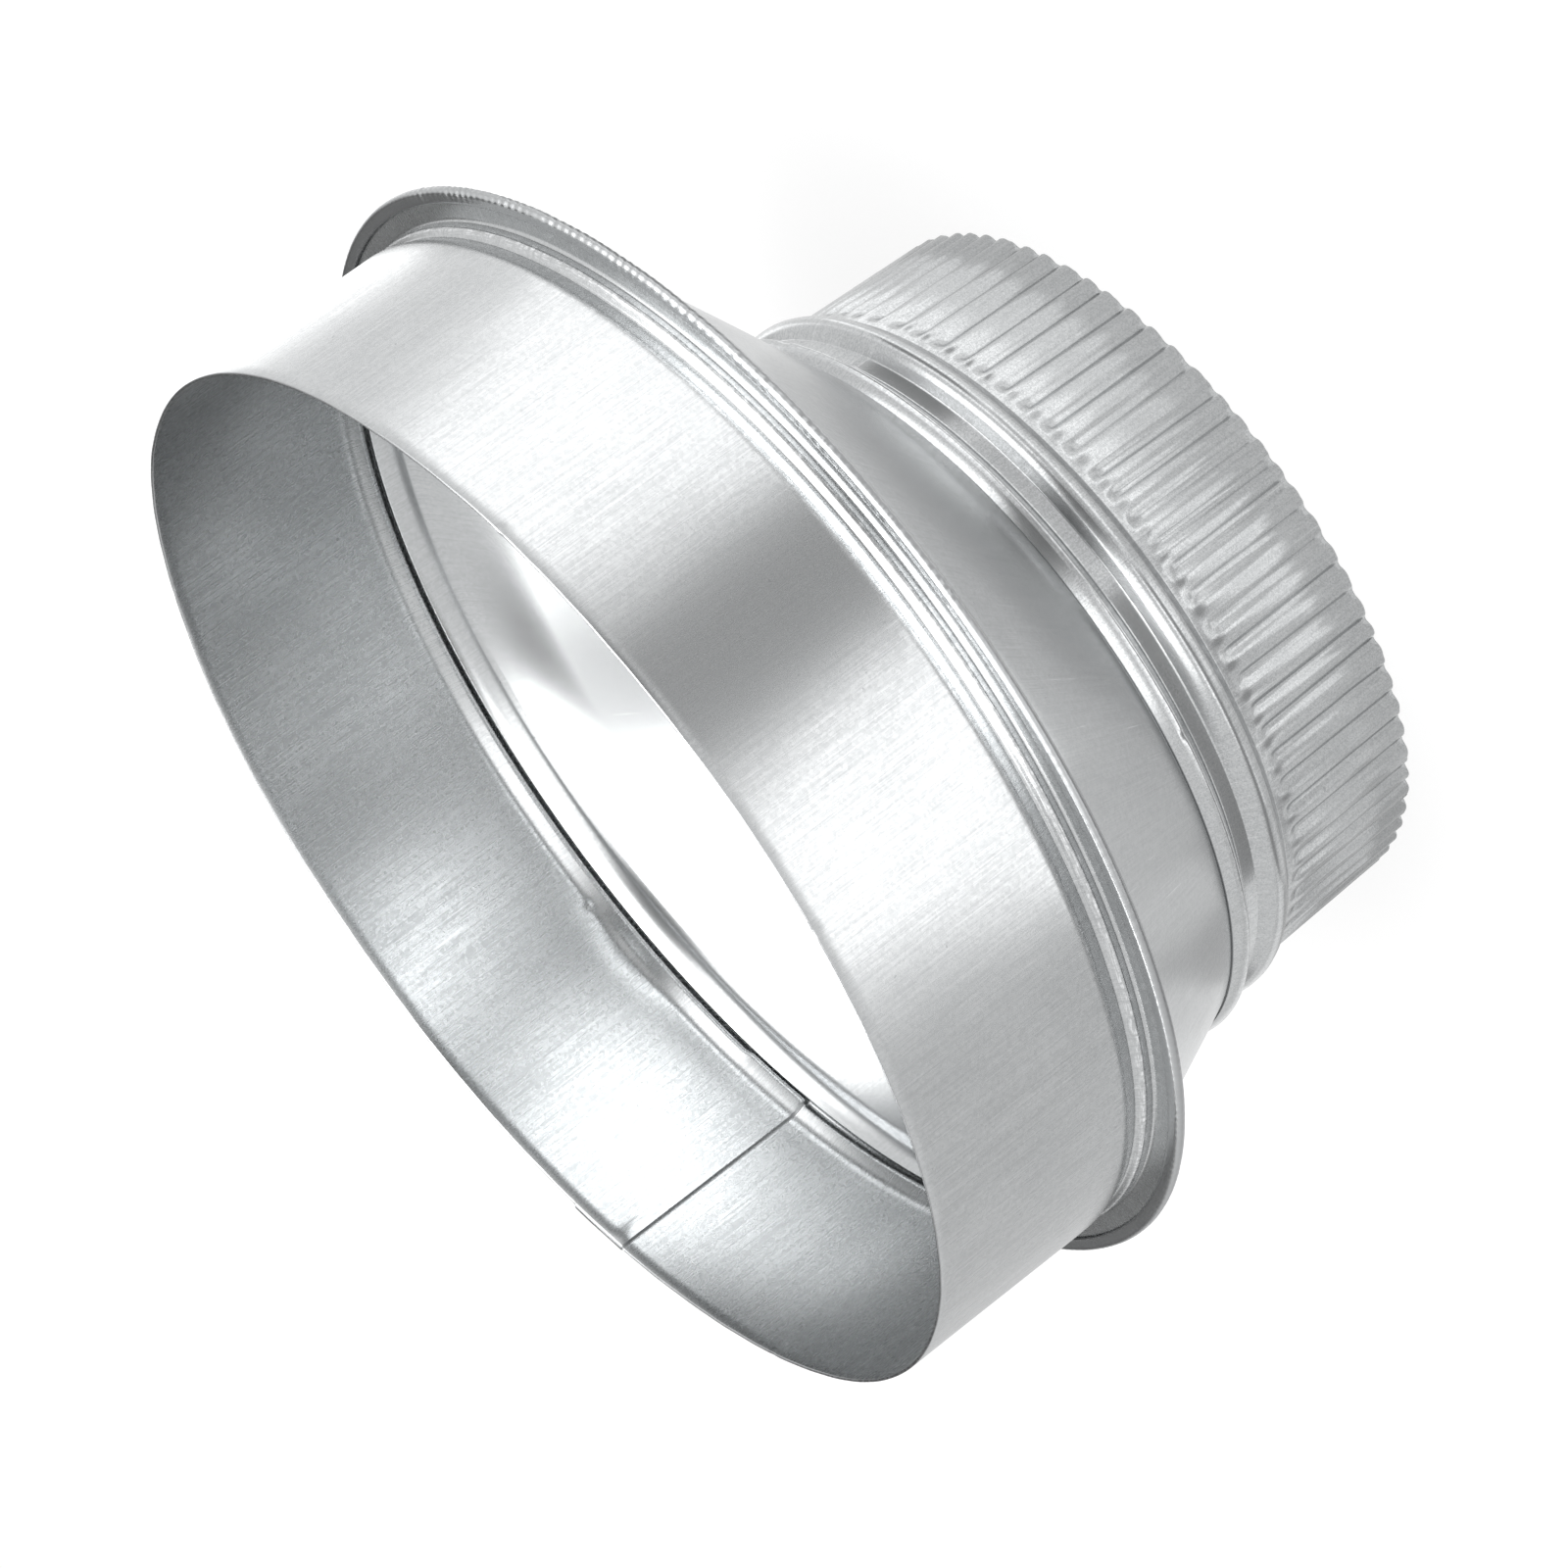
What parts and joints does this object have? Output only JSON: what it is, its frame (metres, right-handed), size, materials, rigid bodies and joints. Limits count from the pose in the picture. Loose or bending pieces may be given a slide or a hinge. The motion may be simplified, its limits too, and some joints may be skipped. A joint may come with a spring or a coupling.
{
  "type": "duct reducer",
  "caption": "Offset round duct reducer in seamed galvanised sheet: plain large collar, oblique cone, and a beaded small collar with a crimped end.",
  "frame": {"origin": "middle of the underside of the box: on the large collar's axis, in the plane of the crimped end's rim, on which the reducer stands", "axes": "+Z along both collars' axes, from the crimped small end up to the large end; the small collar lies off the large axis toward -X; the lap seam of the large collar is toward -X and +Y"},
  "size_m": [0.1628, 0.1628, 0.0944],
  "materials": {
    "galvanised_sheet": "galvanised, fine spangle, brushed along the axis on the large collar"
  },
  "bodies": {
    "root": {"large_collar": "galvanised_sheet", "reducing_cone": "galvanised_sheet", "small_collar": "galvanised_sheet"}
  },
  "joints": []
}
